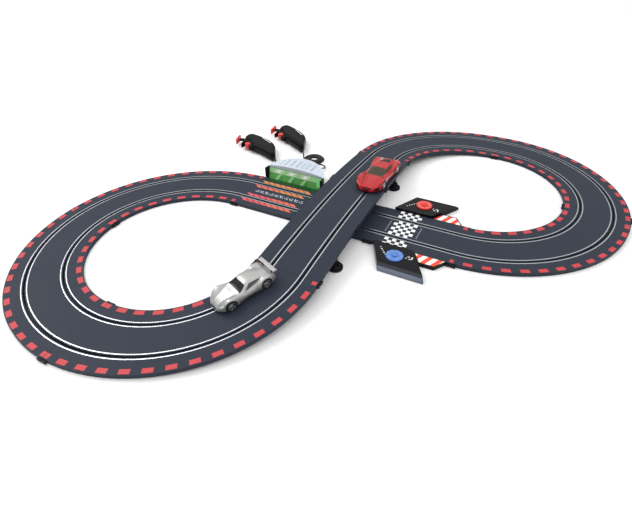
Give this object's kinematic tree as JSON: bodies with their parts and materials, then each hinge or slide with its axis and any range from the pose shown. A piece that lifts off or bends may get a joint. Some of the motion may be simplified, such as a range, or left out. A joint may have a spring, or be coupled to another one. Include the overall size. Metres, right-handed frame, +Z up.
{
  "type": "slot car track set",
  "caption": "Two-lane figure-of-eight slot car track with a bridge, battery box, hand controllers, lap dials and two model cars.",
  "frame": {"origin": "crossing point of the two straight runs, on the floor", "axes": "+X towards the right-hand loop, +Y away from the side with the blue lap dial, +Z up"},
  "size_m": [1.1626, 0.7138, 0.0646],
  "materials": {
    "track_plastic": "fine textured moulded plastic with a dull sheen",
    "rail_steel": "bright rolled strip",
    "black_plastic": "moulded",
    "gloss_black": "polished",
    "dial_red": "polished",
    "dial_blue": "polished",
    "apron_white": "white with orange-red slanted stripes",
    "green_clear": "tinted green with paler panes",
    "lid_grey": "satin",
    "cell_jacket": "printed jacket without marks",
    "contact_metal": "nickel plated",
    "grip_black": "satin with ribbed back",
    "trigger_red": "satin",
    "cord_black": "soft sheath",
    "silver_paint": "metallic silver lacquer",
    "red_paint": "glossy red lacquer",
    "dark_glazing": "dark smoked",
    "wheel_rubber": "black tyres on silver spoked rims",
    "brass_gear": "machined",
    "motor_can": "plated can"
  },
  "bodies": {
    "track": {"curve_left_back": "track_plastic", "curve_left_outer": "track_plastic", "curve_left_ramp": "track_plastic", "curve_right_ramp": "track_plastic", "curve_right_outer": "track_plastic", "curve_right_front": "track_plastic", "straight_connection": "track_plastic", "straight_underpass": "track_plastic", "straight_start_finish": "track_plastic", "bridge_left": "track_plastic", "bridge_middle": "track_plastic", "bridge_right": "track_plastic", "rails": "rail_steel", "joint_clips": "black_plastic", "bridge_supports": "black_plastic", "lap_housing_red": "gloss_black", "lap_housing_blue": "gloss_black", "kerb_aprons": "apron_white", "battery_box_base": "black_plastic", "battery_box_front": "green_clear", "battery_cells": "cell_jacket", "battery_contacts": "contact_metal", "left_casing_lower": "grip_black", "left_casing_upper": "grip_black", "left_plunger_spring": "contact_metal", "right_casing_lower": "grip_black", "right_casing_upper": "grip_black", "right_plunger_spring": "contact_metal", "strain_reliefs": "black_plastic", "left_cord": "cord_black", "left_cord_coil": "cord_black", "left_plug": "black_plastic", "right_cord": "cord_black", "right_cord_coil": "cord_black", "right_plug": "black_plastic"},
    "silver_car": {"silver_body": "silver_paint", "silver_windows": "dark_glazing", "silver_chassis": "black_plastic", "silver_motor": "motor_can"},
    "silver_front_axle": {"silver_front_wheels": "wheel_rubber"},
    "silver_rear_axle": {"silver_rear_wheels": "wheel_rubber"},
    "silver_motor_shaft": {"silver_pinion": "brass_gear"},
    "silver_guide_blade": {"silver_guide": "black_plastic"},
    "red_car": {"red_body": "red_paint", "red_windows": "dark_glazing", "red_chassis": "black_plastic", "red_motor": "motor_can"},
    "red_front_axle": {"red_front_wheels": "wheel_rubber"},
    "red_rear_axle": {"red_rear_wheels": "wheel_rubber"},
    "red_motor_shaft": {"red_pinion": "brass_gear"},
    "red_guide_blade": {"red_guide": "black_plastic"},
    "lap_counter_red": {"lap_dial_red": "dial_red"},
    "lap_counter_blue": {"lap_dial_blue": "dial_blue"},
    "lap_trip_red": {"lap_lever_red": "black_plastic"},
    "lap_trip_blue": {"lap_lever_blue": "black_plastic"},
    "battery_cover": {"battery_lid": "lid_grey"},
    "left_thumb_plunger": {"left_plunger": "trigger_red"},
    "right_thumb_plunger": {"right_plunger": "trigger_red"},
    "left_turbo": {"left_turbo_button": "trigger_red"},
    "right_turbo": {"right_turbo_button": "trigger_red"}
  },
  "joints": [
    {"name": "silver_car_round_loop", "type": "hinge", "parent": "track", "child": "silver_car", "pos_m": [-0.30688, 0, 0.02065], "axis": [-0.1058, -0.052, 0.993], "range_deg": [-3, 1]},
    {"name": "red_car_along_bridge", "type": "slide", "parent": "track", "child": "red_car", "axis": [-0.7064, -0.7064, 0.0443], "range_m": [-0.015, 0.015]},
    {"name": "silver_front_wheels_spin", "type": "hinge", "parent": "silver_car", "child": "silver_front_axle", "pos_m": [-0.25359, -0.18027, 0.02593], "axis": [0.3778, -0.9259, 0], "continuous": true},
    {"name": "silver_rear_wheels_spin", "type": "hinge", "parent": "silver_car", "child": "silver_rear_axle", "pos_m": [-0.19658, -0.15701, 0.03324], "axis": [0.3778, -0.9259, 0], "continuous": true},
    {"name": "silver_motor_spin", "type": "hinge", "parent": "silver_car", "child": "silver_motor_shaft", "pos_m": [-0.20026, -0.15851, 0.03277], "axis": [-0.9194, -0.3752, -0.1179], "continuous": true},
    {"name": "silver_guide_swivel", "type": "hinge", "parent": "silver_car", "child": "silver_guide_blade", "pos_m": [-0.2572, -0.18174, 0.01641], "axis": [-0.1091, -0.0445, 0.993], "range_deg": [-3, 3]},
    {"name": "red_front_wheels_spin", "type": "hinge", "parent": "red_car", "child": "red_front_axle", "pos_m": [0.06572, 0.02541, 0.04989], "axis": [0.7071, -0.7071, 0], "continuous": true},
    {"name": "red_rear_wheels_spin", "type": "hinge", "parent": "red_car", "child": "red_rear_axle", "pos_m": [0.12364, 0.08334, 0.04626], "axis": [0.7071, -0.7071, 0], "continuous": true},
    {"name": "red_motor_spin", "type": "hinge", "parent": "red_car", "child": "red_motor_shaft", "pos_m": [0.12082, 0.08051, 0.04643], "axis": [-0.7064, -0.7064, 0.0443], "continuous": true},
    {"name": "red_guide_swivel", "type": "hinge", "parent": "red_car", "child": "red_guide_blade", "pos_m": [0.05978, 0.01948, 0.04126], "axis": [0.0313, 0.0313, 0.999], "range_deg": [-3, 3]},
    {"name": "lap_dial_red_turn", "type": "hinge", "parent": "track", "child": "lap_counter_red", "pos_m": [0.15556, -0.03253, 0.012], "axis": [0, 0, 1], "continuous": true},
    {"name": "lap_dial_blue_turn", "type": "hinge", "parent": "track", "child": "lap_counter_blue", "pos_m": [0.03253, -0.15556, 0.012], "axis": [0, 0, 1], "continuous": true},
    {"name": "lap_lever_red_swing", "type": "hinge", "parent": "track", "child": "lap_trip_red", "pos_m": [0.14071, -0.04738, 0.002], "axis": [0, 0, 1], "range_deg": [-6, 6], "stiffness_Nm_per_rad": 0.01},
    {"name": "lap_lever_blue_swing", "type": "hinge", "parent": "track", "child": "lap_trip_blue", "pos_m": [0.04738, -0.14071, 0.002], "axis": [0, 0, 1], "range_deg": [-6, 6], "stiffness_Nm_per_rad": 0.01},
    {"name": "battery_lid_slide", "type": "slide", "parent": "track", "child": "battery_cover", "axis": [0.7071, 0.7071, 0], "range_m": [0, 0.03]},
    {"name": "left_plunger_press", "type": "slide", "parent": "track", "child": "left_thumb_plunger", "axis": [-0.8829, 0.4695, 0], "range_m": [-0.01, 0], "stiffness_N_per_m": 120, "deforming": ["left_plunger_spring"]},
    {"name": "left_turbo_press", "type": "slide", "parent": "track", "child": "left_turbo", "axis": [1, 0, 0], "range_m": [0, 0.003], "stiffness_N_per_m": 200},
    {"name": "right_plunger_press", "type": "slide", "parent": "track", "child": "right_thumb_plunger", "axis": [-0.7923, 0.6101, 0], "range_m": [-0.01, 0], "stiffness_N_per_m": 120, "deforming": ["right_plunger_spring"]},
    {"name": "right_turbo_press", "type": "slide", "parent": "track", "child": "right_turbo", "axis": [0.986, -0.1668, 0], "range_m": [0, 0.003], "stiffness_N_per_m": 200}
  ],
  "couplings": [
    {"joint": "silver_motor_spin", "follows": "silver_rear_wheels_spin", "ratio": -2.385},
    {"joint": "red_motor_spin", "follows": "red_rear_wheels_spin", "ratio": -2.385}
  ]
}
